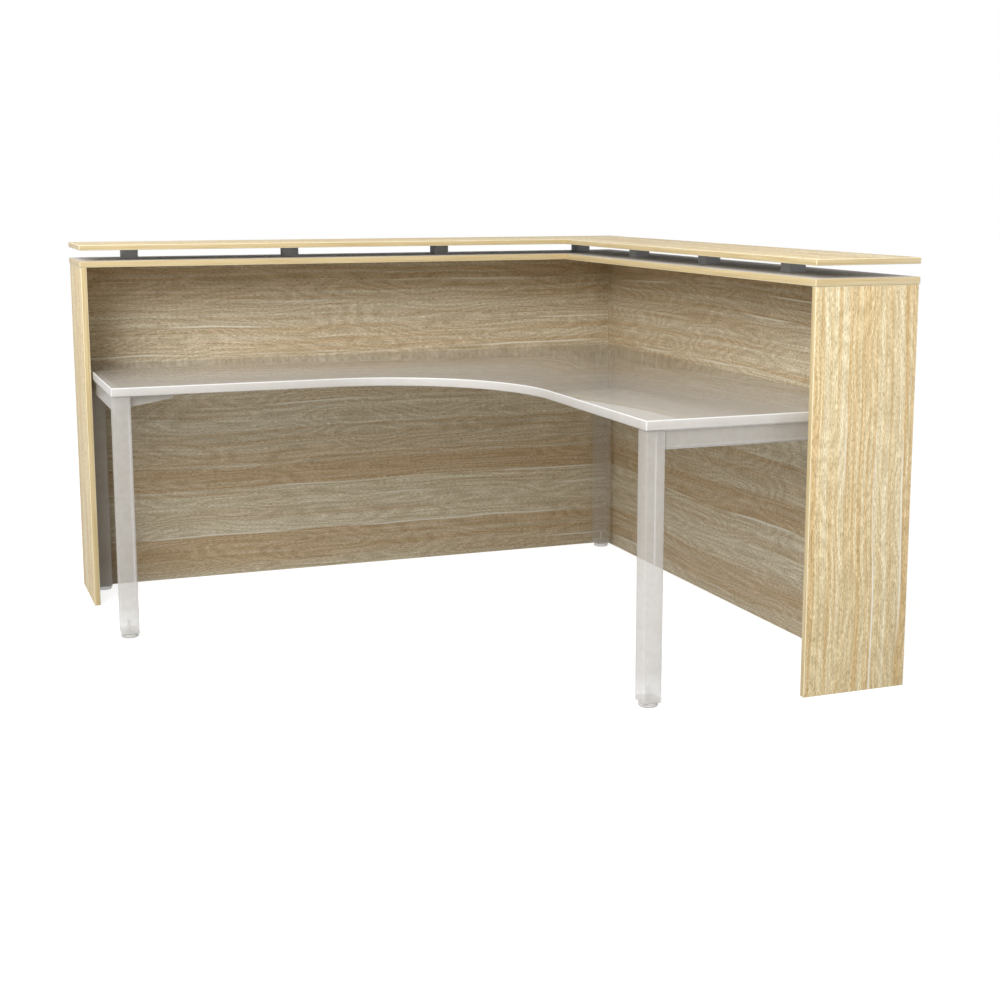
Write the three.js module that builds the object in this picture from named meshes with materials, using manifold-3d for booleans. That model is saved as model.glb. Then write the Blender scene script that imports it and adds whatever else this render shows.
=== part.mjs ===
// An L-shaped reception counter with a corner workstation inside it.
// Millimetres, +Z up. The origin is on the floor, under the middle of the counter's outline.
// +Y is the customer side, +X the side where the return arm runs towards -Y.

import * as THREE from 'three';
import { mergeVertices } from 'three/addons/utils/BufferGeometryUtils.js';
import Module from 'manifold-3d';

const wasm = await Module();
wasm.setup();

// Counter, overall: the outline of the floating top and its height
const COUNTER_WIDTH = 1860;
const COUNTER_DEPTH = 1860;
const COUNTER_HEIGHT = 1100;

// Counter boards
const BOARD = 18; // panels, walls and caps
const TOP_BOARD = 16; // floating top
const ARM_DEPTH = 300; // cap and floating top, across each arm
const TOP_GAP = 32; // open slot between cap and floating top
const OVERHANG = 2; // cap past the panels that it lies on
const MAIN_WALL_SETBACK = 22; // main wall behind the cap's customer edge

// Spacer blocks in the slot, placed by the middle of each block
const SPACER_SIDE = 48;
const MAIN_SPACER_COUNT = 3;
const MAIN_SPACER_LEFT_MARGIN = 165; // first block, from the left end
const MAIN_SPACER_RIGHT_MARGIN = 687; // last block, from the right end
const CORNER_SPACER_SIDE_MARGIN = 174; // corner block and return row, from the right side
const CORNER_SPACER_BACK_MARGIN = 142; // corner block, from the customer edge
const RETURN_SPACER_COUNT = 3;
const RETURN_SPACER_NEAR_MARGIN = 317; // last block, from the near end

// Bolts that go up through cap and spacer into the floating top
const BOLT_DIAMETER = 6;
const BOLT_HEAD_DIAMETER = 12;
const BOLT_HEAD_HEIGHT = 4;
const BOLT_TOP_SKIN = 6; // board left above the end of a bolt

// Dowels in the board joints
const DOWEL_DIAMETER = 8;
const DOWEL_EDGE_BITE = 20; // length in the edge of a board
const DOWEL_FACE_SKIN = 6; // board left behind a dowel that stands in a face
const DOWEL_FLOOR_MARGIN = 200; // lower wall dowels, above the floor
const DOWEL_CAP_MARGIN = 200; // upper wall dowels, below the cap
const DOWEL_SIDE_MARGIN = 60; // dowels along an end panel or a board joint, from its sides
const HOLE_CLEARANCE = 0.3; // round and beyond every bolt and dowel
const PIN_SIDES = 12;

// Workstation: worktop and its gaps to the counter
const WORKTOP_HEIGHT = 720;
const WORKTOP_BOARD = 25;
const MAIN_WING_DEPTH = 650;
const RETURN_WING_DEPTH = 685;
const INNER_RADIUS = 480; // round inner corner between the two wings
const INNER_RADIUS_STEPS = 24;
const GAP_LEFT = 6;
const GAP_RIGHT = 14;
const GAP_BACK = 20;
const GAP_NEAR = 40;

// Workstation legs: square tube, a plug in the lower end and a foot that screws into the plug
const LEG_SIDE = 50;
const LEG_INSET = 4; // leg behind the worktop's edges
const LEG_WALL = 2;
const LEG_CORNER_RADIUS = 3;
const CORNER_STEPS = 3;
const PLUG_LENGTH = 12;
const PLUG_CLEARANCE = 0.3;
const FOOT_HEIGHT = 11.7;
const FOOT_DIAMETER = 49;
const FOOT_EDGE_RADIUS = 5;
const FOOT_EDGE_STEPS = 4;
const FOOT_SIDES = 24;
const FOOT_SEAT_GAP = 0.3; // foot to leg when screwed right in
const FOOT_TRAVEL = 15;
const STEM_DIAMETER = 10;
const STEM_ENGAGEMENT = 10; // stem above the plug when screwed right out
const STEM_CLEARANCE = 0.3;
const STEM_SIDES = 12;

// Workstation rails, bracket and the packers that hold it to the counter
const RAIL_HEIGHT = 50;
const RAIL_WIDTH = 40;
const RAIL_WALL = 2;
const BRACKET_LENGTH = 122;
const BRACKET_ROOT_HEIGHT = 33;
const BRACKET_TIP_HEIGHT = 12;
const BRACKET_THICKNESS = 4;
const PACKER_LENGTH = 40;
const PACKER_HEIGHT = 30;
const PACKER_LEG_GAP = 10; // left packer, from the rear left leg

// Finishes
const FINISHES = {
  oakMelamine: { color: '#dfcda6', roughness: 0.6, metalness: 0 },
  spacerGrey: { color: '#676767', roughness: 0.55, metalness: 0 },
  zincSteel: { color: '#b9bbbd', roughness: 0.35, metalness: 1 },
  beechDowel: { color: '#cfae83', roughness: 0.7, metalness: 0 },
  paleWorktop: { color: '#d3cdc2', roughness: 0.5, metalness: 0 },
  paleSteel: { color: '#dedcd8', roughness: 0.4, metalness: 0 },
  plugPlastic: { color: '#c9c5bd', roughness: 0.6, metalness: 0 },
  footPlastic: { color: '#6f6b64', roughness: 0.6, metalness: 0 },
};

// Planes of the counter
const left = -COUNTER_WIDTH / 2;
const right = COUNTER_WIDTH / 2;
const near = -COUNTER_DEPTH / 2;
const back = COUNTER_DEPTH / 2;
const armFront = back - ARM_DEPTH; // staff edge of the main arm
const armSide = right - ARM_DEPTH; // staff edge of the return arm
const topLow = COUNTER_HEIGHT - TOP_BOARD;
const capHigh = topLow - TOP_GAP;
const capLow = capHigh - BOARD;
const leftPanelFace = left + OVERHANG + BOARD; // inner face of each panel and wall
const nearPanelFace = near + OVERHANG + BOARD;
const returnWallFace = right - OVERHANG - BOARD;
const mainWallFace = back - MAIN_WALL_SETBACK - BOARD;

// Planes of the workstation
const deskLeft = leftPanelFace + GAP_LEFT;
const deskRight = returnWallFace - GAP_RIGHT;
const deskBack = mainWallFace - GAP_BACK;
const deskNear = nearPanelFace + GAP_NEAR;
const mainWingFront = deskBack - MAIN_WING_DEPTH;
const returnWingFront = deskRight - RETURN_WING_DEPTH;
const worktopLow = WORKTOP_HEIGHT - WORKTOP_BOARD;
const legLow = FOOT_HEIGHT + FOOT_SEAT_GAP;

const desk = new THREE.Group();
const counter = new THREE.Group();
const workstation = new THREE.Group();
desk.add(counter, workstation);

// Adds one named piece with a material of its own.
function addPiece(parent, name, geometry, finish, position) {
  const material = new THREE.MeshStandardMaterial(FINISHES[finish]);
  const mesh = new THREE.Mesh(geometry, material);
  mesh.name = name;
  mesh.position.set(...position);
  parent.add(mesh);
}

// Turns a closed geometry into a solid that can be cut.
function solidFrom(geometry) {
  const bare = geometry.clone();
  bare.deleteAttribute('normal');
  bare.deleteAttribute('uv');
  const merged = mergeVertices(bare);
  const vertProperties = new Float32Array(merged.attributes.position.array);
  const triVerts = new Uint32Array(merged.index.array);
  return new wasm.Manifold(new wasm.Mesh({ numProp: 3, vertProperties, triVerts }));
}

// Turns a cut solid back into a geometry with flat faces.
function geometryFrom(solid) {
  const { vertProperties, triVerts } = solid.getMesh();
  const shared = new THREE.BufferGeometry();
  shared.setAttribute('position', new THREE.BufferAttribute(vertProperties, 3));
  shared.setIndex(new THREE.BufferAttribute(triVerts, 1));
  const flat = shared.toNonIndexed();
  flat.computeVertexNormals();
  return flat;
}

// A round pin about the origin, along the axis 'x', 'y' or 'z'.
function pinGeometry(axis, diameter, length) {
  const pin = new THREE.CylinderGeometry(diameter / 2, diameter / 2, length, PIN_SIDES);
  if (axis === 'x') pin.rotateZ(-Math.PI / 2);
  if (axis === 'z') pin.rotateX(Math.PI / 2);
  return pin;
}

// Counter boards: boxes between two corners, with the holes that fixings drill later
const boards = {
  left_end_panel: {
    low: [left + OVERHANG, armFront + OVERHANG, 0],
    high: [leftPanelFace, back - OVERHANG, capLow],
  },
  right_end_panel: {
    low: [armSide + OVERHANG, near + OVERHANG, 0],
    high: [right - OVERHANG, nearPanelFace, capLow],
  },
  main_wall_panel: {
    low: [leftPanelFace, mainWallFace, 0],
    high: [returnWallFace, mainWallFace + BOARD, capLow],
  },
  return_wall_panel: {
    low: [returnWallFace, nearPanelFace, 0],
    high: [right - OVERHANG, back - OVERHANG, capLow],
  },
  main_cap_board: {
    low: [left, armFront, capLow],
    high: [right, back, capHigh],
  },
  return_cap_board: {
    low: [armSide, near, capLow],
    high: [right, armFront, capHigh],
  },
  main_top_board: {
    low: [left, armFront, topLow],
    high: [right, back, COUNTER_HEIGHT],
  },
  return_top_board: {
    low: [armSide, near, topLow],
    high: [right, armFront, COUNTER_HEIGHT],
  },
};

const drillings = [];

// Notes a hole that is drilled into each of the named boards.
function drill(names, axis, diameter, length, middle) {
  const geometry = pinGeometry(axis, diameter + 2 * HOLE_CLEARANCE, length);
  geometry.translate(...middle);
  drillings.push({ names, solid: solidFrom(geometry) });
}

// A dowel across the joint plane of two boards, at a point of that plane.
// The bites are its lengths on the low side and on the high side of the plane.
function addDowel(name, axis, point, lowBoard, lowBite, highBoard, highBite) {
  const length = lowBite + highBite;
  const middle = [...point];
  middle['xyz'.indexOf(axis)] += (highBite - lowBite) / 2;
  addPiece(counter, name, pinGeometry(axis, DOWEL_DIAMETER, length), 'beechDowel', middle);
  drill([lowBoard, highBoard], axis, DOWEL_DIAMETER, length + 2 * HOLE_CLEARANCE, middle);
}

// Dowels between walls, panels, caps and tops
const faceBite = BOARD - DOWEL_FACE_SKIN;
const edgeBite = DOWEL_EDGE_BITE;
const mainWallMiddle = mainWallFace + BOARD / 2;
const returnWallMiddle = returnWallFace + BOARD / 2;
const leftPanelMiddle = leftPanelFace - BOARD / 2;
const nearPanelMiddle = nearPanelFace - BOARD / 2;

[DOWEL_FLOOR_MARGIN, capLow - DOWEL_CAP_MARGIN].forEach((z, index) => {
  const number = index + 1;
  addDowel(`left_panel_dowel_${number}`, 'x', [leftPanelFace, mainWallMiddle, z],
    'left_end_panel', faceBite, 'main_wall_panel', edgeBite);
  addDowel(`wall_corner_dowel_${number}`, 'x', [returnWallFace, mainWallMiddle, z],
    'main_wall_panel', edgeBite, 'return_wall_panel', faceBite);
  addDowel(`right_panel_dowel_${number}`, 'y', [returnWallMiddle, nearPanelFace, z],
    'right_end_panel', faceBite, 'return_wall_panel', edgeBite);
});

[armFront + DOWEL_SIDE_MARGIN, back - DOWEL_SIDE_MARGIN].forEach((y, index) => {
  addDowel(`left_cap_dowel_${index + 1}`, 'z', [leftPanelMiddle, y, capLow],
    'left_end_panel', edgeBite, 'main_cap_board', faceBite);
});

[armSide + DOWEL_SIDE_MARGIN, right - DOWEL_SIDE_MARGIN].forEach((x, index) => {
  const number = index + 1;
  addDowel(`right_cap_dowel_${number}`, 'z', [x, nearPanelMiddle, capLow],
    'right_end_panel', edgeBite, 'return_cap_board', faceBite);
  addDowel(`cap_joint_dowel_${number}`, 'y', [x, armFront, capLow + BOARD / 2],
    'return_cap_board', edgeBite, 'main_cap_board', edgeBite);
  addDowel(`top_joint_dowel_${number}`, 'y', [x, armFront, topLow + TOP_BOARD / 2],
    'return_top_board', edgeBite, 'main_top_board', edgeBite);
});

addDowel('main_wall_cap_dowel', 'z', [(leftPanelFace + returnWallFace) / 2, mainWallMiddle, capLow],
  'main_wall_panel', edgeBite, 'main_cap_board', faceBite);
addDowel('return_wall_cap_dowel', 'z', [returnWallMiddle, (nearPanelFace + armFront) / 2, capLow],
  'return_wall_panel', edgeBite, 'return_cap_board', faceBite);

// A spacer bolt about the plane where its head meets the cap, with the shank up.
function boltGeometry(shankLength) {
  const profile = [
    new THREE.Vector2(0, -BOLT_HEAD_HEIGHT),
    new THREE.Vector2(BOLT_HEAD_DIAMETER / 2, -BOLT_HEAD_HEIGHT),
    new THREE.Vector2(BOLT_HEAD_DIAMETER / 2, 0),
    new THREE.Vector2(BOLT_DIAMETER / 2, 0),
    new THREE.Vector2(BOLT_DIAMETER / 2, shankLength),
    new THREE.Vector2(0, shankLength),
  ];
  const bolt = new THREE.LatheGeometry(profile, PIN_SIDES);
  bolt.rotateX(Math.PI / 2);
  return bolt;
}

// A spacer block with its bolt, between a cap board and a top board.
function addSpacer(name, boltName, x, y, capBoard, topBoard) {
  const shankLength = BOARD + TOP_GAP + TOP_BOARD - BOLT_TOP_SKIN;
  const holeLength = shankLength + 2 * HOLE_CLEARANCE;
  const holeMiddle = [x, y, capLow + shankLength / 2];
  drill([capBoard, topBoard], 'z', BOLT_DIAMETER, holeLength, holeMiddle);
  addPiece(counter, boltName, boltGeometry(shankLength), 'zincSteel', [x, y, capLow]);

  const block = solidFrom(new THREE.BoxGeometry(SPACER_SIDE, SPACER_SIDE, TOP_GAP));
  const bore = solidFrom(pinGeometry('z', BOLT_DIAMETER + 2 * HOLE_CLEARANCE, holeLength));
  const geometry = geometryFrom(block.subtract(bore));
  addPiece(counter, name, geometry, 'spacerGrey', [x, y, capHigh + TOP_GAP / 2]);
}

// Main row along the middle of the main arm
const mainSpacerRow = back - ARM_DEPTH / 2;
const mainSpacerRun = COUNTER_WIDTH - MAIN_SPACER_LEFT_MARGIN - MAIN_SPACER_RIGHT_MARGIN;
for (let index = 0; index < MAIN_SPACER_COUNT; index += 1) {
  const x = left + MAIN_SPACER_LEFT_MARGIN + (mainSpacerRun * index) / (MAIN_SPACER_COUNT - 1);
  const number = index + 1;
  addSpacer(`main_spacer_${number}`, `main_spacer_bolt_${number}`, x, mainSpacerRow,
    'main_cap_board', 'main_top_board');
}

// Corner block, and the return row in line with it
const cornerSpacerX = right - CORNER_SPACER_SIDE_MARGIN;
const cornerSpacerY = back - CORNER_SPACER_BACK_MARGIN;
addSpacer('corner_spacer', 'corner_spacer_bolt', cornerSpacerX, cornerSpacerY,
  'main_cap_board', 'main_top_board');
const returnSpacerRun = cornerSpacerY - (near + RETURN_SPACER_NEAR_MARGIN);
for (let number = 1; number <= RETURN_SPACER_COUNT; number += 1) {
  const y = cornerSpacerY - (returnSpacerRun * number) / RETURN_SPACER_COUNT;
  addSpacer(`return_spacer_${number}`, `return_spacer_bolt_${number}`, cornerSpacerX, y,
    'return_cap_board', 'return_top_board');
}

// Boards, now that every hole is known
for (const [name, { low, high }] of Object.entries(boards)) {
  const size = high.map((value, axis) => value - low[axis]);
  const middle = high.map((value, axis) => (value + low[axis]) / 2);
  let solid = solidFrom(new THREE.BoxGeometry(...size));
  for (const drilling of drillings.filter(({ names }) => names.includes(name))) {
    solid = solid.subtract(drilling.solid.translate(...middle.map((value) => -value)));
  }
  addPiece(counter, name, geometryFrom(solid), 'oakMelamine', middle);
}

// Worktop: an L in plan, with a round inner corner
const worktopPlan = new THREE.Shape();
worktopPlan.moveTo(deskLeft, deskBack);
worktopPlan.lineTo(deskLeft, mainWingFront);
worktopPlan.lineTo(returnWingFront - INNER_RADIUS, mainWingFront);
worktopPlan.absarc(returnWingFront - INNER_RADIUS, mainWingFront - INNER_RADIUS, INNER_RADIUS,
  Math.PI / 2, 0, true);
worktopPlan.lineTo(returnWingFront, deskNear);
worktopPlan.lineTo(deskRight, deskNear);
worktopPlan.lineTo(deskRight, deskBack);
const worktopOptions = { depth: WORKTOP_BOARD, bevelEnabled: false, curveSegments: INNER_RADIUS_STEPS };
const worktopGeometry = new THREE.ExtrudeGeometry(worktopPlan, worktopOptions);
addPiece(workstation, 'worktop', worktopGeometry, 'paleWorktop', [0, 0, worktopLow]);

// A rectangle about the origin with round corners, as the outline of a shape or of a hole.
function roundedRectangle(outline, width, height, radius) {
  const x = width / 2 - radius;
  const y = height / 2 - radius;
  outline.absarc(x, y, radius, 0, Math.PI / 2);
  outline.absarc(-x, y, radius, Math.PI / 2, Math.PI);
  outline.absarc(-x, -y, radius, Math.PI, 1.5 * Math.PI);
  outline.absarc(x, -y, radius, 1.5 * Math.PI, 2 * Math.PI);
  outline.closePath();
  return outline;
}

// A rectangle with square corners.
function plainRectangle(outline, width, height) {
  outline.moveTo(-width / 2, -height / 2);
  outline.lineTo(width / 2, -height / 2);
  outline.lineTo(width / 2, height / 2);
  outline.lineTo(-width / 2, height / 2);
  outline.closePath();
  return outline;
}

// A rectangular tube that runs up from the origin.
function tubeGeometry(width, height, wall, length) {
  const section = roundedRectangle(new THREE.Shape(), width, height, LEG_CORNER_RADIUS);
  section.holes.push(plainRectangle(new THREE.Path(), width - 2 * wall, height - 2 * wall));
  const options = { depth: length, bevelEnabled: false, curveSegments: CORNER_STEPS };
  return new THREE.ExtrudeGeometry(section, options);
}

// A plug that fills the lower end of a leg, bored for the foot's stem.
function plugGeometry() {
  const side = LEG_SIDE - 2 * LEG_WALL - 2 * PLUG_CLEARANCE;
  const section = plainRectangle(new THREE.Shape(), side, side);
  const bore = new THREE.Path();
  bore.absarc(0, 0, STEM_DIAMETER / 2 + STEM_CLEARANCE, 0, 2 * Math.PI);
  section.holes.push(bore);
  const options = { depth: PLUG_LENGTH, bevelEnabled: false, curveSegments: STEM_SIDES };
  return new THREE.ExtrudeGeometry(section, options);
}

// A levelling foot: a round pad with a soft lower edge, and its stem.
function footGeometry() {
  const radius = FOOT_DIAMETER / 2;
  const stemTop = legLow + PLUG_LENGTH + FOOT_TRAVEL + STEM_ENGAGEMENT;
  const profile = [new THREE.Vector2(0, 0)];
  for (let step = 0; step <= FOOT_EDGE_STEPS; step += 1) {
    const angle = (step / FOOT_EDGE_STEPS) * (Math.PI / 2);
    const x = radius - FOOT_EDGE_RADIUS + FOOT_EDGE_RADIUS * Math.sin(angle);
    const y = FOOT_EDGE_RADIUS - FOOT_EDGE_RADIUS * Math.cos(angle);
    profile.push(new THREE.Vector2(x, y));
  }
  profile.push(new THREE.Vector2(radius, FOOT_HEIGHT));
  profile.push(new THREE.Vector2(STEM_DIAMETER / 2, FOOT_HEIGHT));
  profile.push(new THREE.Vector2(STEM_DIAMETER / 2, stemTop));
  profile.push(new THREE.Vector2(0, stemTop));
  const foot = new THREE.LatheGeometry(profile, FOOT_SIDES);
  foot.rotateX(Math.PI / 2);
  return foot;
}

// Legs, plugs and feet at the five corners of the worktop
const legReach = LEG_INSET + LEG_SIDE / 2; // worktop edge to the middle of a leg
const leftLegs = deskLeft + legReach;
const rightLegs = deskRight - legReach;
const rearLegs = deskBack - legReach;
const nearLegs = deskNear + legReach;
const mainFrontLeg = mainWingFront + legReach;
const returnFrontLeg = returnWingFront + legReach;
const legPlaces = {
  front_left: [leftLegs, mainFrontLeg],
  rear_left: [leftLegs, rearLegs],
  corner: [rightLegs, rearLegs],
  front_right: [returnFrontLeg, nearLegs],
  rear_right: [rightLegs, nearLegs],
};
for (const [place, [x, y]] of Object.entries(legPlaces)) {
  const tube = tubeGeometry(LEG_SIDE, LEG_SIDE, LEG_WALL, worktopLow - legLow);
  addPiece(workstation, `${place}_leg`, tube, 'paleSteel', [x, y, legLow]);
  addPiece(workstation, `${place}_leg_plug`, plugGeometry(), 'plugPlastic', [x, y, legLow]);
  addPiece(workstation, `${place}_foot`, footGeometry(), 'footPlastic', [x, y, 0]);
}

// Side rails between two legs, with the section's height upright
const railMiddle = worktopLow - RAIL_HEIGHT / 2;
const leftRailLength = rearLegs - mainFrontLeg - LEG_SIDE;
const leftRail = tubeGeometry(RAIL_WIDTH, RAIL_HEIGHT, RAIL_WALL, leftRailLength);
leftRail.rotateX(Math.PI / 2);
addPiece(workstation, 'left_side_rail', leftRail, 'paleSteel',
  [leftLegs, rearLegs - LEG_SIDE / 2, railMiddle]);

const rightRailLength = rightLegs - returnFrontLeg - LEG_SIDE;
const rightRail = tubeGeometry(RAIL_HEIGHT, RAIL_WIDTH, RAIL_WALL, rightRailLength);
rightRail.rotateY(Math.PI / 2);
addPiece(workstation, 'right_side_rail', rightRail, 'paleSteel',
  [returnFrontLeg + LEG_SIDE / 2, nearLegs, railMiddle]);

// Tapered bracket under the worktop, beside the front left leg
const bracketSide = new THREE.Shape();
bracketSide.moveTo(0, 0);
bracketSide.lineTo(0, -BRACKET_ROOT_HEIGHT);
bracketSide.lineTo(BRACKET_LENGTH, -BRACKET_TIP_HEIGHT);
bracketSide.lineTo(BRACKET_LENGTH, 0);
bracketSide.closePath();
const bracketOptions = { depth: BRACKET_THICKNESS, bevelEnabled: false };
const bracket = new THREE.ExtrudeGeometry(bracketSide, bracketOptions);
bracket.rotateX(Math.PI / 2);
addPiece(workstation, 'support_bracket', bracket, 'paleSteel',
  [leftLegs + LEG_SIDE / 2, mainFrontLeg + BRACKET_THICKNESS / 2, worktopLow]);

// Packers: left rail to left end panel, and rear right leg to return wall
const leftRailFace = leftLegs - RAIL_WIDTH / 2;
const leftPackerWidth = leftRailFace - leftPanelFace;
const leftPackerEnd = rearLegs - LEG_SIDE / 2 - PACKER_LEG_GAP;
const leftPacker = new THREE.BoxGeometry(leftPackerWidth, PACKER_LENGTH, PACKER_HEIGHT);
addPiece(workstation, 'left_packer', leftPacker, 'beechDowel',
  [leftPanelFace + leftPackerWidth / 2, leftPackerEnd - PACKER_LENGTH / 2, railMiddle]);

const rightPackerWidth = GAP_RIGHT + LEG_INSET;
const rightPacker = new THREE.BoxGeometry(rightPackerWidth, PACKER_LENGTH, PACKER_HEIGHT);
addPiece(workstation, 'right_packer', rightPacker, 'beechDowel',
  [returnWallFace - rightPackerWidth / 2, nearLegs, railMiddle]);

export default desk;
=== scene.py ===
"""Looks of an L-shaped reception counter with a corner workstation inside it.

Metres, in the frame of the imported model: +Z up, +Y the customer side, the return arm on +X.
"""

import math

import bpy
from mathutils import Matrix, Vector


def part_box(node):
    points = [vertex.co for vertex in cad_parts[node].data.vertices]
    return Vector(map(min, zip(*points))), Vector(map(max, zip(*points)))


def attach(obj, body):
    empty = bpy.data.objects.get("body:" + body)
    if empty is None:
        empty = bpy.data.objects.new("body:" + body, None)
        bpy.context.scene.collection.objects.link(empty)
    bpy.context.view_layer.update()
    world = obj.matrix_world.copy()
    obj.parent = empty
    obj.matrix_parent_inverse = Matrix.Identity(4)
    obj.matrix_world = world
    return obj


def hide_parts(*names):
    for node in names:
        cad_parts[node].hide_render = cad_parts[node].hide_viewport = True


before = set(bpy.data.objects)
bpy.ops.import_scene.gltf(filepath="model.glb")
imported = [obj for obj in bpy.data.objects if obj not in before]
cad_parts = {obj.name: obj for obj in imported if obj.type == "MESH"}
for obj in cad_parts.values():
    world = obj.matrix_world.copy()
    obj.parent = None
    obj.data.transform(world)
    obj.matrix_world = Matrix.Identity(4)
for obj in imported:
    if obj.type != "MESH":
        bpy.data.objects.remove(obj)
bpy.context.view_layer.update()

MM = 0.001
AXES = "xyz"

# Edges and corners
BOARD_ARRIS = 1.8 * MM
SPACER_ARRIS = 1.5 * MM
WORKTOP_ARRIS = 2.5 * MM
LEG_ARRIS = 3.0 * MM
RAIL_ARRIS = 6.0 * MM
INNER_CORNER_RADIUS = 480 * MM
ROUND_SEGMENTS = 3
CREASE_ANGLE = math.radians(40)

# How far a face's normal has to lean to an axis
FLAT = 0.999  # square to the axis
LEVEL = 0.001  # at most, not leaning at all
TURNED = 0.3  # part of a rounded edge on the axis's side
CORNER = 0.2  # on both axes at once, part of a rounded corner

# Spacer bolts
BOLT_HEAD_HEIGHT = 4.0 * MM
BOLT_SHANK_RADIUS = 3.0 * MM
BOLT_SOCKET_RADIUS = 2.3 * MM
BOLT_SOCKET_DEPTH = 2.4 * MM

# Levelling feet
FOOT_LOWER_ROUND = 4.5 * MM
FOOT_UPPER_ROUND = 1.0 * MM
FOOT_LEG_GAP = 0.3 * MM
STEM_RADIUS = 5.0 * MM
STEM_RIBS = 10
RIB_WAIST = 0.88

# Camera, from the photograph's viewing angle
CAMERA_PLACE = (-1.4487, -4.2897, 1.2751)
CAMERA_TURN = (80.685, -0.012, -21.041)
CAMERA_LENS = 57.69
CAMERA_SHIFT = (-0.0120, -0.0517)

# Light levels
AMBIENT_STRENGTH = 0.37
KEY_PLACE = (-4.8, -4.6, 5.2)
KEY_SIZE = 6.0
KEY_POWER = 820
FILL_PLACE = (3.6, -3.2, 0.5)
FILL_SIZE = 2.0
FILL_POWER = 48
LIGHT_TARGET = (0.1, 0.2, 0.6)
FLOOR_RADIUS = 9.0
FLOOR_GLOW = 0.82
FLOOR_SHADE = 0.42
FLOOR_BOUNCE = "#767676"

# Oak tones from the darkest to the palest stave, and last the pale line at a joint. The inner tones are
# greyer and darker: painted shade on the walls' faces that look inwards
OUTER_TONES = ("#d6b67e", "#dfc493", "#e6d3a8", "#eee0bc", "#fcf7e8")
INNER_PAINTED_SHADE_TONES = ("#bda47f", "#c5b191", "#cbbca0", "#d5cab0", "#e6e1d1")


# Nodes and colours


def linear(code):
    """An sRGB hex colour as linear red, green, blue and a full alpha."""
    parts = [int(code[i:i + 2], 16) / 255 for i in (1, 3, 5)]
    return [p / 12.92 if p <= 0.04045 else ((p + 0.055) / 1.055) ** 2.4 for p in parts] + [1]


def add_node(tree, kind, sockets=None, links=None, stops=None, **settings):
    """Adds a node with its settings, socket values, incoming links and colour stops."""
    made = tree.nodes.new(kind)
    for name, value in settings.items():
        setattr(made, name, value)
    for socket, value in (sockets or {}).items():
        made.inputs[socket].default_value = value
    for socket, source in (links or {}).items():
        tree.links.new(source, made.inputs[socket])
    if stops:
        elements = made.color_ramp.elements
        while len(elements) < len(stops):
            elements.new(0.5)
        for element, (position, code) in zip(elements, stops):
            element.position = position
            element.color = linear(code)
    return made


def new_material(name):
    """An empty node material, and its tree with the output node."""
    material = bpy.data.materials.new(name)
    material.use_nodes = True
    material.node_tree.nodes.clear()
    output = add_node(material.node_tree, "ShaderNodeOutputMaterial")
    return material, material.node_tree, output


def seen_directly(tree):
    """One for rays that show the backdrop to the camera, also by reflection or through glass."""
    path = add_node(tree, "ShaderNodeLightPath").outputs
    seen = add_node(tree, "ShaderNodeMath", links={0: path["Is Camera Ray"], 1: path["Is Glossy Ray"]},
                    operation="MAXIMUM")
    seen = add_node(tree, "ShaderNodeMath", links={0: seen.outputs[0], 1: path["Is Transmission Ray"]},
                    operation="MAXIMUM")
    return seen.outputs[0]


# Materials


def grain_noise(tree, place, along, length, width, detail):
    """Noise drawn out along the grain, with the length and width of its flecks."""
    stretch = [1 / length if axis == along else 1 / width for axis in AXES]
    pulled = add_node(tree, "ShaderNodeVectorMath", {1: stretch}, {0: place}, operation="MULTIPLY")
    noise = add_node(tree, "ShaderNodeTexNoise", {"Scale": 1.0, "Detail": detail, "Roughness": 0.55},
                     {"Vector": pulled.outputs[0]})
    return noise.outputs[0]


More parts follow.
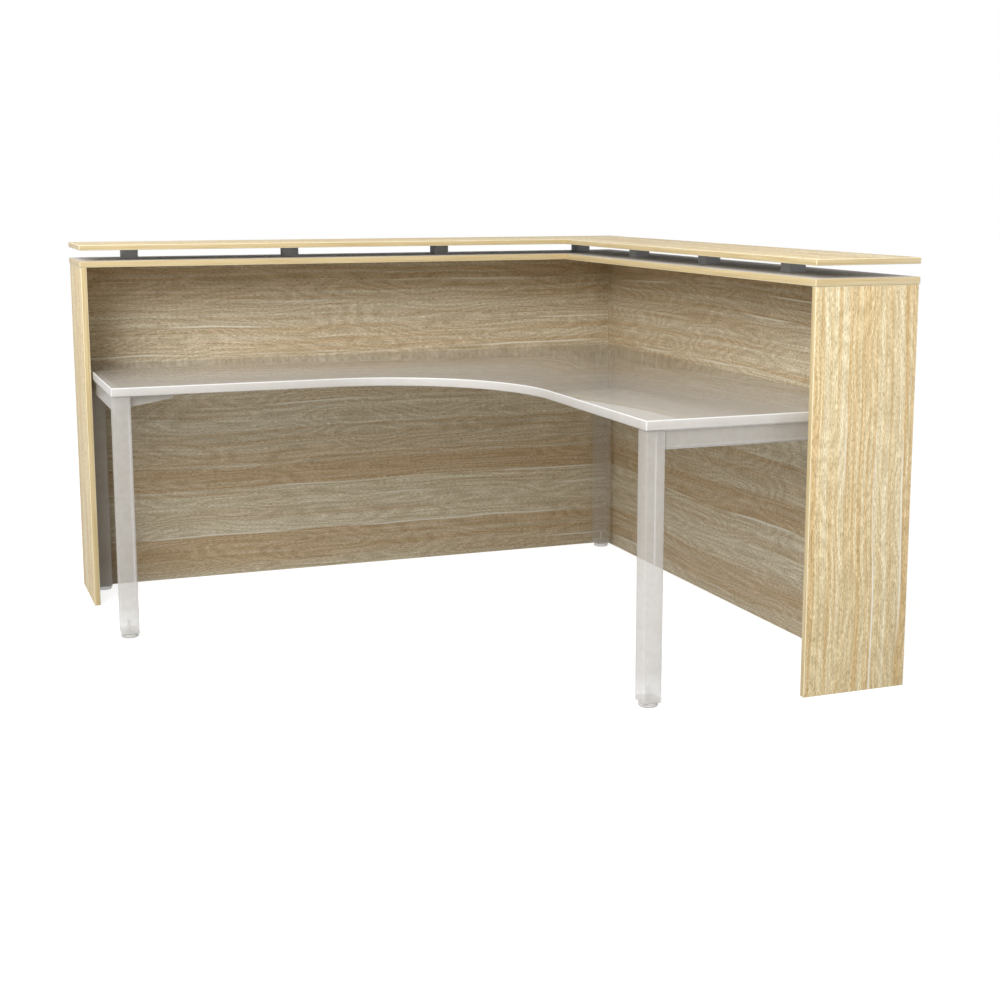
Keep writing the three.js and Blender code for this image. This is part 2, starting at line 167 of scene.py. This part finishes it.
def oak_melamine(side, along, across, tones):
    """Melamine board with a printed oak decor of glued staves.

    The eye gets staves about 85 mm wide in tan and pale straw, cathedral figure, long streaks and
    short dark pores inside them, a pale line along parts of the joints, and a dull satin sheen.
    """
    stave_width = 85 * MM
    stave_shift = 9.0  # metres along the grain, at most
    swing_range = 60 * MM
    ring_turns = 110.0  # radians of the ring wave over the noise's whole range
    material, tree, output = new_material(f"{side}_oak_melamine_{along}_{across}")
    place = add_node(tree, "ShaderNodeTexCoord").outputs["Object"]
    split = add_node(tree, "ShaderNodeSeparateXYZ", links={0: place}).outputs
    length = split[AXES.index(along)]
    width = split[AXES.index(across)]

    # The grain swings about 15 mm to and fro along a board
    swing = grain_noise(tree, place, along, 900 * MM, 500 * MM, 2.0)
    swing = add_node(tree, "ShaderNodeMath", {1: swing_range}, {0: swing}, operation="MULTIPLY")
    bent = add_node(tree, "ShaderNodeMath", links={0: width, 1: swing.outputs[0]},
                    operation="ADD").outputs[0]
    grain_links = {AXES.index(along): length, AXES.index(across): bent}
    grain = add_node(tree, "ShaderNodeCombineXYZ", links=grain_links).outputs[0]

    # Staves, each with random numbers of its own
    stave_sockets = {"Scale": 1 / stave_width, "Randomness": 0.8}
    stave = add_node(tree, "ShaderNodeTexVoronoi", stave_sockets, {"W": bent}, voronoi_dimensions="1D")
    joint = add_node(tree, "ShaderNodeTexVoronoi", stave_sockets, {"W": bent}, voronoi_dimensions="1D",
                     feature="DISTANCE_TO_EDGE")
    chance = add_node(tree, "ShaderNodeSeparateColor", links={0: stave.outputs["Color"]}).outputs

    # Growth rings: contour lines of a long drawn-out noise, shifted from stave to stave
    shift = add_node(tree, "ShaderNodeMath", {1: stave_shift}, {0: chance[1]}, operation="MULTIPLY")
    slid = add_node(tree, "ShaderNodeMath", links={0: length, 1: shift.outputs[0]}, operation="ADD")
    slid_links = {AXES.index(along): slid.outputs[0], AXES.index(across): bent}
    ring_place = add_node(tree, "ShaderNodeCombineXYZ", links=slid_links).outputs[0]
    growth = grain_noise(tree, ring_place, along, 550 * MM, 100 * MM, 1.5)
    phase = add_node(tree, "ShaderNodeMath", {1: ring_turns}, {0: growth}, operation="MULTIPLY")
    ring = add_node(tree, "ShaderNodeMath", links={0: phase.outputs[0]}, operation="SINE").outputs[0]

    # Tone: half from the stave, half from stripes about 14 mm wide that run along it
    stripe = grain_noise(tree, ring_place, along, 1100 * MM, 14 * MM, 2.0)
    stripe = add_node(tree, "ShaderNodeMapRange", {1: 0.3, 2: 0.7}, {0: stripe})
    mixed = add_node(tree, "ShaderNodeMix", {0: 0.55}, {2: chance[0], 3: stripe.outputs[0]})
    tone = add_node(tree, "ShaderNodeValToRGB", links={0: mixed.outputs[0]},
                    stops=list(zip((0.2, 0.42, 0.58, 0.8), tones)))

    # Shading layers: noise, the range it spans, and the factors it gives. Streaks, fibres and pores
    # are drawn about 2 mm wide, because finer ones would not show.
    streak = grain_noise(tree, grain, along, 280 * MM, 2.1 * MM, 2.0)
    fibre = grain_noise(tree, grain, along, 12 * MM, 1.8 * MM, 2.0)
    pore = grain_noise(tree, grain, along, 14 * MM, 2.1 * MM, 1.0)
    layers = ((ring, -1.0, 1.0, 0.88, 1.08), (streak, 0.3, 0.7, 0.80, 1.17),
              (fibre, 0.3, 0.7, 0.66, 1.30), (pore, 0.57, 0.68, 1.0, 0.72))
    shade = None
    for noise, least, most, dark, light in layers:
        layer = add_node(tree, "ShaderNodeMapRange", {1: least, 2: most, 3: dark, 4: light}, {0: noise})
        if shade:
            layer = add_node(tree, "ShaderNodeMath", links={0: shade, 1: layer.outputs[0]},
                             operation="MULTIPLY")
        shade = layer.outputs[0]

    # Dark fibres are browner than pale ones
    browner = [add_node(tree, "ShaderNodeMath", {1: power}, {0: shade}, operation="POWER").outputs[0]
               for power in (0.9, 1.05, 1.35)]
    tint = add_node(tree, "ShaderNodeCombineXYZ", links=dict(enumerate(browner)))
    figured = add_node(tree, "ShaderNodeVectorMath", links={0: tone.outputs[0], 1: tint.outputs[0]},
                       operation="MULTIPLY")

    # A pale joint line about 5 mm wide, on some stretches of the joints
    line = add_node(tree, "ShaderNodeMapRange", {1: 0.018, 2: 0.040, 3: 1.0, 4: 0.0},
                    {0: joint.outputs["Distance"]})
    stretch = grain_noise(tree, place, along, 450 * MM, 100 * MM, 0.0)
    shown = add_node(tree, "ShaderNodeMapRange", {1: 0.54, 2: 0.66, 3: 0.0, 4: 0.85}, {0: stretch})
    gap = add_node(tree, "ShaderNodeMath", links={0: line.outputs[0], 1: shown.outputs[0]},
                   operation="MULTIPLY")
    colour = add_node(tree, "ShaderNodeMix", {7: linear(tones[-1])},
                      {0: gap.outputs[0], 6: figured.outputs[0]}, data_type="RGBA")

    relief = add_node(tree, "ShaderNodeBump", {"Strength": 0.15, "Distance": 0.2 * MM}, {"Height": pore})
    gloss = add_node(tree, "ShaderNodeMapRange", {1: 0.3, 2: 0.7, 3: 0.50, 4: 0.62}, {0: fibre})
    shader = add_node(tree, "ShaderNodeBsdfPrincipled", {"IOR": 1.5},
                      {"Base Color": colour.outputs[2], "Roughness": gloss.outputs[0],
                       "Normal": relief.outputs[0]})
    tree.links.new(shader.outputs[0], output.inputs[0])
    return material


def oak_edge_band(along):
    """ABS edge band with an oak print: straight streaks along the edge."""
    material, tree, output = new_material(f"oak_edge_band_{along}")
    place = add_node(tree, "ShaderNodeTexCoord").outputs["Object"]
    streak = grain_noise(tree, place, along, 200 * MM, 4.5 * MM, 2.0)
    colour = add_node(tree, "ShaderNodeValToRGB", links={0: streak}, stops=[
        (0.25, "#bfa877"), (0.5, "#d1bb8c"), (0.75, "#dccaa0")])
    shader = add_node(tree, "ShaderNodeBsdfPrincipled", {"Roughness": 0.42, "IOR": 1.5},
                      {"Base Color": colour.outputs[0]})
    tree.links.new(shader.outputs[0], output.inputs[0])
    return material


def scraped_arris():
    """A painted highlight: a pale line along the board's rounded edges, with a faint mottle."""
    material, tree, output = new_material("scraped_arris")
    place = add_node(tree, "ShaderNodeTexCoord").outputs["Object"]
    highlight_mottle = add_node(tree, "ShaderNodeTexNoise", {"Scale": 1 / (12 * MM), "Detail": 2.0}, {"Vector": place})
    colour = add_node(tree, "ShaderNodeValToRGB", links={0: highlight_mottle.outputs[0]}, stops=[
        (0.3, "#e9d9b0"), (0.7, "#f5e9c8")])
    shader = add_node(tree, "ShaderNodeBsdfPrincipled", {"Roughness": 0.38, "IOR": 1.5},
                      {"Base Color": colour.outputs[0]})
    tree.links.new(shader.outputs[0], output.inputs[0])
    return material


def grey_backing_sheet():
    """Plain pale grey in place of the oak on the faces of the cap and top that look at each other or down:
    painted shade, so that the gap between them looks grey.
    """
    material, tree, output = new_material("grey_backing_sheet")
    place = add_node(tree, "ShaderNodeTexCoord").outputs["Object"]
    fleck = add_node(tree, "ShaderNodeTexNoise", {"Scale": 1 / (5 * MM), "Detail": 2.0}, {"Vector": place})
    colour = add_node(tree, "ShaderNodeValToRGB", links={0: fleck.outputs[0]}, stops=[
        (0.3, "#d2cdc5"), (0.7, "#dcd8d0")])
    shader = add_node(tree, "ShaderNodeBsdfPrincipled", {"Roughness": 0.6},
                      {"Base Color": colour.outputs[0]})
    tree.links.new(shader.outputs[0], output.inputs[0])
    return material


def powder_coated_grey():
    """Grey powder coat on the spacer blocks: matt, with a fine orange peel. It looks dark in the gap."""
    material, tree, output = new_material("powder_coated_grey")
    place = add_node(tree, "ShaderNodeTexCoord").outputs["Object"]
    peel = add_node(tree, "ShaderNodeTexNoise", {"Scale": 1 / (3 * MM), "Detail": 2.0}, {"Vector": place})
    colour = add_node(tree, "ShaderNodeValToRGB", links={0: peel.outputs[0]}, stops=[
        (0.3, "#bcbec1"), (0.7, "#c6c8cb")])
    relief = add_node(tree, "ShaderNodeBump", {"Strength": 0.2, "Distance": 0.1 * MM},
                      {"Height": peel.outputs[0]})
    shader = add_node(tree, "ShaderNodeBsdfPrincipled", {"Roughness": 0.55},
                      {"Base Color": colour.outputs[0], "Normal": relief.outputs[0]})
    tree.links.new(shader.outputs[0], output.inputs[0])
    return material


def zinc_plated_steel():
    """Zinc plated bolts: a grey metal with cloudy, slightly blue crystals."""
    material, tree, output = new_material("zinc_plated_steel")
    place = add_node(tree, "ShaderNodeTexCoord").outputs["Object"]
    cloud = add_node(tree, "ShaderNodeTexNoise", {"Scale": 1 / (2 * MM), "Detail": 3.0}, {"Vector": place})
    colour = add_node(tree, "ShaderNodeValToRGB", links={0: cloud.outputs[0]}, stops=[
        (0.3, "#aeb2b6"), (0.7, "#c9cbcc")])
    rough = add_node(tree, "ShaderNodeMapRange", {3: 0.28, 4: 0.42}, {0: cloud.outputs[0]})
    shader = add_node(tree, "ShaderNodeBsdfPrincipled", {"Metallic": 1.0},
                      {"Base Color": colour.outputs[0], "Roughness": rough.outputs[0]})
    tree.links.new(shader.outputs[0], output.inputs[0])
    return material


def raw_beech():
    """Raw beech of dowels and packers: a warm even wood with short darker flecks."""
    material, tree, output = new_material("raw_beech")
    place = add_node(tree, "ShaderNodeTexCoord").outputs["Object"]
    fleck = add_node(tree, "ShaderNodeTexNoise", {"Scale": 1 / (1.5 * MM), "Detail": 2.0},
                     {"Vector": place})
    colour = add_node(tree, "ShaderNodeValToRGB", links={0: fleck.outputs[0]}, stops=[
        (0.3, "#bf9a6c"), (0.7, "#d6b78c")])
    shader = add_node(tree, "ShaderNodeBsdfPrincipled", {"Roughness": 0.75},
                      {"Base Color": colour.outputs[0]})
    tree.links.new(shader.outputs[0], output.inputs[0])
    return material


def see_through(name, low, high, alpha, grain, rough, fade=0.0, coat=0.0):
    """A pale see-through finish with a faint mottle: what lies behind it shows through.

    With a fade, it turns white over that height above the floor: painted light. With a coat, it is
    lacquered and mirrors what stands behind it at a low angle.
    """
    material, tree, output = new_material(name)
    place = add_node(tree, "ShaderNodeTexCoord").outputs["Object"]
    mottle = add_node(tree, "ShaderNodeTexNoise", {"Scale": 1 / grain, "Detail": 2.0}, {"Vector": place})
    colour = add_node(tree, "ShaderNodeValToRGB", links={0: mottle.outputs[0]}, stops=[
        (0.3, low), (0.7, high)]).outputs[0]
    # Painted light: the colour turns white towards the floor
    if fade:
        height = add_node(tree, "ShaderNodeSeparateXYZ", links={0: place}).outputs[2]
        pale = add_node(tree, "ShaderNodeMapRange", {2: fade, 3: 1.0, 4: 0.0}, {0: height})
        colour = add_node(tree, "ShaderNodeMix", {7: linear("#ffffff")}, {0: pale.outputs[0], 6: colour},
                          data_type="RGBA").outputs[2]
    shader = add_node(tree, "ShaderNodeBsdfPrincipled",
                      {"Alpha": alpha, "Roughness": rough, "Coat Weight": coat}, {"Base Color": colour})
    tree.links.new(shader.outputs[0], output.inputs[0])
    return material


def white_floor():
    """Matt studio floor: white to the camera, with a faint shadow, and a plain grey to other light."""
    material, tree, output = new_material("white_floor")
    seen = seen_directly(tree)
    glow = add_node(tree, "ShaderNodeEmission", {"Color": linear("#ffffff"), "Strength": FLOOR_GLOW})
    lit = add_node(tree, "ShaderNodeBsdfDiffuse", {"Color": [FLOOR_SHADE] * 3 + [1]})
    bright = add_node(tree, "ShaderNodeAddShader", links={0: glow.outputs[0], 1: lit.outputs[0]})
    plain = add_node(tree, "ShaderNodeBsdfDiffuse", {"Color": linear(FLOOR_BOUNCE)})
    mixed = add_node(tree, "ShaderNodeMixShader",
                     links={0: seen, 1: plain.outputs[0], 2: bright.outputs[0]})
    tree.links.new(mixed.outputs[0], output.inputs[0])
    return material


GRAINS = {
    "left_end_panel": ("z", "y"),
    "right_end_panel": ("z", "x"),
    "main_wall_panel": ("x", "z"),
    "return_wall_panel": ("y", "z"),
    "main_cap_board": ("x", "y"),
    "return_cap_board": ("y", "x"),
    "main_top_board": ("x", "y"),
    "return_top_board": ("y", "x"),
}
WALLS = ("main_wall_panel", "return_wall_panel")
LEG_PLACES = ("front_left", "rear_left", "corner", "front_right", "rear_right")
FAINT_PAINTED_SHADE_LEGS = ("corner_leg", "rear_right_leg")
outer_oak = {grain: oak_melamine("outer", *grain, OUTER_TONES) for grain in sorted(set(GRAINS.values()))}
# Greyer, darker oak for the faces of the walls that look inwards: painted shade
inner_painted_shade_oak = {GRAINS[wall]: oak_melamine("inner", *GRAINS[wall], INNER_PAINTED_SHADE_TONES) for wall in WALLS}
edge_band = [oak_edge_band(axis) for axis in AXES]
# The boards' rounded edges get a pale painted highlight
arris = scraped_arris()
# Plain grey for the faces in the gap between cap and top: painted shade
painted_shade_grey_finish = grey_backing_sheet()
spacer_grey = powder_coated_grey()
zinc = zinc_plated_steel()
beech = raw_beech()

# The workstation's finishes. The worktop's lacquered top is milky and mirrors the wall above it.
lacquered_board = see_through("lacquered_board", "#e6e0d6", "#ebe6dd", 0.56, 30 * MM, 0.015, coat=0.6)

# The worktop's underside is clear, so that light falls through, and its edges at the walls are raw tan
board_underside = see_through("board_underside", "#b9b0a2", "#c2baad", 0.28, 30 * MM, 0.45)
board_back_edge = see_through("board_back_edge", "#b5a68e", "#bdaf98", 0.85, 30 * MM, 0.45)

# ABS band on the staff side: a milky white edge. The brightest lines are painted highlights: its arris and
# those on steel.
abs_edge_band = see_through("abs_edge_band", "#eeebe6", "#f4f1ed", 0.64, 30 * MM, 0.40)
bright_arris = see_through("bright_arris", "#f6f6f4", "#ffffff", 0.80, 20 * MM, 0.35)

# Painted steel: milky legs and rails that turn white near the floor, a painted light, and two fainter,
# darker legs in painted shade
painted_steel = see_through("painted_steel", "#cfcac3", "#d7d3cd", 0.52, 20 * MM, 0.40, fade=90 * MM)
faint_painted_shade_steel = see_through("faint_painted_steel", "#bfb8ab", "#cac3b8", 0.26, 20 * MM, 0.45)

# Cloudy polythene plugs and stems, and smoky moulded nylon pads
plug_polythene = see_through("plug_polythene", "#e2dacd", "#ece5da", 0.35, 6 * MM, 0.55)
foot_nylon = see_through("foot_nylon", "#c4bdb2", "#d2cbc2", 0.45, 4 * MM, 0.50)


# Modelling


def deselect():
    """Leaves no object selected."""
    bpy.ops.object.select_all(action="DESELECT")


def start_piece(name):
    """Names the object that was just added and bakes its place and size into its mesh."""
    piece = bpy.context.object
    piece.name = name
    piece.data.name = name
    bpy.ops.object.transform_apply(location=True, rotation=True, scale=True)
    return piece


def block(name, low, high):
    """A box between two corners."""
    deselect()
    middle = [(a + b) / 2 for a, b in zip(low, high)]
    bpy.ops.mesh.primitive_cube_add(size=1, location=middle)
    bpy.context.object.scale = [b - a for a, b in zip(low, high)]
    return start_piece(name)


def round_edges(piece, width):
    """Rounds every edge of a piece by the bevel operator, and keeps its flat faces flat."""
    bpy.context.view_layer.objects.active = piece
    bpy.ops.object.mode_set(mode="EDIT")
    bpy.ops.mesh.select_all(action="SELECT")
    bpy.ops.mesh.bevel(offset=width, segments=ROUND_SEGMENTS, affect="EDGES")
    bpy.ops.mesh.normals_make_consistent(inside=False)
    bpy.ops.object.mode_set(mode="OBJECT")
    smooth(piece)


def smooth(piece):
    """Shades a piece smooth, apart from its sharp creases."""
    deselect()
    piece.select_set(True)
    bpy.context.view_layer.objects.active = piece
    bpy.ops.object.shade_smooth_by_angle(angle=CREASE_ANGLE)


def pick_faces(piece, rule):
    """Selects, in edit mode, the faces that a rule names."""
    bpy.ops.object.mode_set(mode="OBJECT")
    for part in (piece.data.vertices, piece.data.edges):
        part.foreach_set("select", [False] * len(part))
    for face in piece.data.polygons:
        face.select = rule(face)
    bpy.ops.object.mode_set(mode="EDIT")


def extrude_up(height):
    """Extrudes the selected faces, in edit mode, up by a height."""
    bpy.ops.mesh.extrude_region_move(TRANSFORM_OT_translate={"value": (0, 0, height)})


def copies(first, nodes, ending):
    """The first node's piece and its copies at the other nodes, each with a mesh of its own."""
    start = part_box(nodes[0])[0]
    pieces = [first]
    for node in nodes[1:]:
        deselect()
        first.select_set(True)
        bpy.context.view_layer.objects.active = first
        bpy.ops.object.duplicate(linked=False)
        bpy.context.object.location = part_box(node)[0] - start
        pieces.append(start_piece(node + ending))
    return pieces


def paint(piece, *materials, rule=None):
    """Gives a piece its materials. The rule picks the index of a face's material."""
    piece.data.materials.clear()
    for material in materials:
        piece.data.materials.append(material)
    if rule:
        for face in piece.data.polygons:
            face.material_index = rule(face)


def dress(piece, body, slot, *nodes):
    """Says what a piece moves with and what it stands for. The slot, the finish it takes, is not used."""
    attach(piece, body)
    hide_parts(*nodes)


# A board's finishes, in the order of its materials: the three bands are those along x, y and z
OUTER_FACE = 0
INNER_FACE_PAINTED_SHADE = 1
ARRIS_PAINTED_HIGHLIGHT = 2
BANDS = (3, 4, 5)
PAINTED_SHADE_GREY_FACE = 6


def make_board(node):
    """A melamine board with banded edges. The faces that look inwards have greyer, darker staves: painted
    shade.
    """
    low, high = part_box(node)
    size = high - low
    thin, wide, long = sorted(range(3), key=lambda axis: size[axis])
    piece = block(node + "_board", low, high)
    round_edges(piece, BOARD_ARRIS)

    def board_finish(face):
        main = [axis for axis in range(3) if abs(face.normal[axis]) > FLAT]
        if not main:
            # Rounded edges take the pale painted highlight, apart from the cap's upper ones, which take the
            # edge band
            return BANDS[long] if "cap_board" in node and face.normal.z > 0 else ARRIS_PAINTED_HIGHLIGHT
        if main[0] != thin:
            return BANDS[wide if main[0] == long else long]
        # The cap and the top's underside take the plain grey of painted shade
        if "cap_board" in node or ("top_board" in node and face.normal.z < 0):
            return PAINTED_SHADE_GREY_FACE
        return INNER_FACE_PAINTED_SHADE if node in WALLS and face.normal[thin] < 0 else OUTER_FACE

    outer = outer_oak[GRAINS[node]]
    inner = inner_painted_shade_oak.get(GRAINS[node], outer)
    paint(piece, outer, inner, arris, *edge_band, painted_shade_grey_finish, rule=board_finish)
    dress(piece, "root", "oak_melamine", node)


def make_spacers(nodes):
    """Spacer blocks with softly rounded edges."""
    first = block(nodes[0] + "_block", *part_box(nodes[0]))
    round_edges(first, SPACER_ARRIS)
    paint(first, spacer_grey)
    for node, piece in zip(nodes, copies(first, nodes, "_block")):
        dress(piece, "root", "spacer_grey", node)


def make_bolts(nodes):
    """Pan-head bolts with a round socket in the head, which faces down."""
    low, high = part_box(nodes[0])
    middle = (low + high) / 2
    head = (high.x - low.x) / 2
    deselect()
    bpy.ops.mesh.primitive_cylinder_add(vertices=36, radius=head, depth=BOLT_HEAD_HEIGHT,
                                        location=(middle.x, middle.y, low.z + BOLT_HEAD_HEIGHT / 2))
    first = start_piece(nodes[0] + "_pan_head")
    bpy.ops.object.mode_set(mode="EDIT")
    bpy.ops.mesh.select_mode(type="FACE")
    pick_faces(first, lambda face: face.normal.z > FLAT)
    bpy.ops.mesh.inset(thickness=head - BOLT_SHANK_RADIUS)
    extrude_up(high.z - low.z - BOLT_HEAD_HEIGHT)
    pick_faces(first, lambda face: face.normal.z < -FLAT)
    bpy.ops.mesh.inset(thickness=head - BOLT_SOCKET_RADIUS)
    extrude_up(BOLT_SOCKET_DEPTH)
    bpy.ops.object.mode_set(mode="OBJECT")
    smooth(first)
    paint(first, zinc)
    for node, piece in zip(nodes, copies(first, nodes, "_pan_head")):
        dress(piece, "root", "zinc_steel", node)


def make_bay_cutter(low, high):
    """A block the size of the seat bay, with a round inner corner and some length to spare."""
    front_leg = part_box("front_left_leg")[0]
    return_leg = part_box("front_right_leg")[0]
    leg_inset = front_leg.x - low.x
    bay_far = front_leg.y - leg_inset
    bay_right = return_leg.x - leg_inset
    spare = 200 * MM
    bay = block("bay_cutter", (low.x - spare, low.y - spare, low.z - spare),
                (bay_right, bay_far, high.z + spare))
    bpy.ops.object.mode_set(mode="EDIT")
    bpy.ops.mesh.select_mode(type="EDGE")
    bpy.ops.mesh.select_all(action="DESELECT")
    bpy.ops.object.mode_set(mode="OBJECT")
    points = bay.data.vertices
    for edge in bay.data.edges:
        ends = [points[i].co for i in edge.vertices]
        edge.select = all(end.x > bay_right - MM and end.y > bay_far - MM for end in ends)
    bpy.ops.object.mode_set(mode="EDIT")
    bpy.ops.mesh.bevel(offset=INNER_CORNER_RADIUS, segments=48, affect="EDGES")
    bpy.ops.object.mode_set(mode="OBJECT")
    return bay


# The worktop's finishes, in the order of its materials
TOP_FACE = 0
UNDERSIDE = 1
BACK_EDGE = 2
STAFF_EDGE = 3
BRIGHT_EDGE_PAINTED_HIGHLIGHT = 4
CORNER_FACE_AREA = 60 * MM * MM


def worktop_finish(face):
    """Picks a worktop face's finish. On the staff side, upper arrises and upright corners get a bright
    painted highlight.
    """
    if abs(face.normal.z) > FLAT:
        return TOP_FACE if face.normal.z > 0 else UNDERSIDE
    if max(face.normal.x, face.normal.y) > TURNED:
        return BACK_EDGE
    if face.normal.z > LEVEL:
        return BRIGHT_EDGE_PAINTED_HIGHLIGHT
    if face.normal.z < -LEVEL:
        return STAFF_EDGE
    return STAFF_EDGE if face.area > CORNER_FACE_AREA else BRIGHT_EDGE_PAINTED_HIGHLIGHT


def make_worktop():
    """One L-shaped board: a slab with the seat bay cut out, and a soft edge all round."""
    low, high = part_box("worktop")
    bay = make_bay_cutter(low, high)
    piece = block("worktop_slab", low, high)
    cut = piece.modifiers.new("seat_bay", "BOOLEAN")
    cut.operation = "DIFFERENCE"
    cut.object = bay
    bpy.ops.object.modifier_apply(modifier=cut.name)
    bpy.data.objects.remove(bay)
    soften = piece.modifiers.new("soft_edge", "BEVEL")
    soften.width = WORKTOP_ARRIS
    soften.segments = ROUND_SEGMENTS
    soften.limit_method = "ANGLE"
    soften.angle_limit = CREASE_ANGLE
    bpy.ops.object.modifier_apply(modifier=soften.name)
    smooth(piece)
    paint(piece, lacquered_board, board_underside, board_back_edge, abs_edge_band, bright_arris,
          rule=worktop_finish)
    dress(piece, "root", "pale_worktop", "worktop")


def make_legs(nodes):
    """Square legs. Two of them are fainter and darker, painted shade. In the others the far right corner
    shines as a white line, a painted highlight.
    """
    first = block(nodes[0] + "_tube", *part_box(nodes[0]))
    round_edges(first, LEG_ARRIS)
    for node, piece in zip(nodes, copies(first, nodes, "_tube")):
        if node in FAINT_PAINTED_SHADE_LEGS:
            # Painted shade: the two legs against the walls take a fainter, darker steel
            paint(piece, faint_painted_shade_steel)
        else:
            # The far right rounded corner takes a bright painted highlight
            paint(piece, painted_steel, bright_arris,
                  rule=lambda face: 1 if min(face.normal.x, face.normal.y) > CORNER else 0)
        dress(piece, "root", "pale_steel", node)


def make_rail(node):
    """A rail below the worktop, with a bright painted highlight on its upper and lower side."""
    piece = block(node + "_tube", *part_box(node))
    round_edges(piece, RAIL_ARRIS)
    # Upper and lower sides take a bright painted highlight
    paint(piece, painted_steel, bright_arris, rule=lambda face: 1 if abs(face.normal.z) > TURNED else 0)
    dress(piece, "root", "pale_steel", node)


def make_feet(nodes, leg_bottom):
    """Levelling feet: a round pad with a soft lower edge, on a paler ribbed stem."""
    low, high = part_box(nodes[0])
    middle = (low + high) / 2
    radius = (high.x - low.x) / 2
    pad_top = leg_bottom - FOOT_LEG_GAP
    pad_height = pad_top - low.z
    deselect()
    bpy.ops.mesh.primitive_cylinder_add(vertices=48, radius=radius, depth=pad_height,
                                        location=(middle.x, middle.y, low.z + pad_height / 2))
    first = start_piece(nodes[0] + "_pad")
    bpy.ops.object.mode_set(mode="EDIT")
    bpy.ops.mesh.select_mode(type="FACE")
    pick_faces(first, lambda face: face.normal.z < -FLAT)
    bpy.ops.mesh.bevel(offset=FOOT_LOWER_ROUND, segments=5, affect="EDGES")
    pick_faces(first, lambda face: face.normal.z > FLAT)
    bpy.ops.mesh.bevel(offset=FOOT_UPPER_ROUND, segments=2, affect="EDGES")
    pick_faces(first, lambda face: face.normal.z > FLAT)
    bpy.ops.mesh.inset(thickness=radius - FOOT_UPPER_ROUND - STEM_RADIUS)
    rise = (high.z - pad_top) / STEM_RIBS
    for _ in range(STEM_RIBS):
        for grow in (RIB_WAIST, 1 / RIB_WAIST):
            extrude_up(rise / 2)
            bpy.ops.transform.resize(value=(grow, grow, 1))
    bpy.ops.object.mode_set(mode="OBJECT")
    smooth(first)
    paint(first, foot_nylon, plug_polythene, rule=lambda face: 1 if face.center.z > pad_top else 0)
    for node, piece in zip(nodes, copies(first, nodes, "_pad")):
        dress(piece, node + "_body", "foot_plastic", node)


for node in GRAINS:
    make_board(node)

make_spacers(sorted(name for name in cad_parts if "spacer" in name and "bolt" not in name))
make_bolts(sorted(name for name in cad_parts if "bolt" in name))
make_worktop()
make_legs([place + "_leg" for place in LEG_PLACES])
make_feet([place + "_foot" for place in LEG_PLACES], leg_bottom=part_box("front_left_leg")[0].z)
make_rail("left_side_rail")
make_rail("right_side_rail")

# Nodes that keep their solids
paint(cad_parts["support_bracket"], painted_steel)
for name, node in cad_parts.items():
    if "dowel" in name or "packer" in name:
        paint(node, beech)
    elif "plug" in name:
        paint(node, plug_polythene)


# Stage, light and camera


deselect()
bpy.ops.mesh.primitive_circle_add(vertices=96, radius=FLOOR_RADIUS, fill_type="NGON")
floor = start_piece("studio_floor")
paint(floor, white_floor())

world = bpy.data.worlds.new("studio")
bpy.context.scene.world = world
world.use_nodes = True
sky = world.node_tree
sky.nodes.clear()
ambient = add_node(sky, "ShaderNodeBackground",
                   {"Color": linear("#ffffff"), "Strength": AMBIENT_STRENGTH})
backdrop = add_node(sky, "ShaderNodeBackground", {"Color": linear("#ffffff"), "Strength": 1.0})
chosen = add_node(sky, "ShaderNodeMixShader",
                  links={0: seen_directly(sky), 1: ambient.outputs[0], 2: backdrop.outputs[0]})
add_node(sky, "ShaderNodeOutputWorld", links={0: chosen.outputs[0]})


def soft_box(name, place, target, size, power):
    """A square studio light that points at a target."""
    lamp = bpy.data.lights.new(name, "AREA")
    lamp.size = size
    lamp.energy = power
    holder = bpy.data.objects.new(name, lamp)
    bpy.context.scene.collection.objects.link(holder)
    holder.location = place
    aim = Vector(target) - Vector(place)
    holder.rotation_euler = aim.to_track_quat("-Z", "Y").to_euler()


soft_box("key_light", KEY_PLACE, LIGHT_TARGET, KEY_SIZE, KEY_POWER)
soft_box("fill_light", FILL_PLACE, LIGHT_TARGET, FILL_SIZE, FILL_POWER)

camera = bpy.data.objects.new("photo_camera", bpy.data.cameras.new("photo_camera"))
bpy.context.scene.collection.objects.link(camera)
camera.location = CAMERA_PLACE
camera.rotation_euler = [math.radians(angle) for angle in CAMERA_TURN]
camera.data.lens = CAMERA_LENS
camera.data.shift_x, camera.data.shift_y = CAMERA_SHIFT
bpy.context.scene.camera = camera
bpy.context.scene.view_settings.view_transform = "Standard"
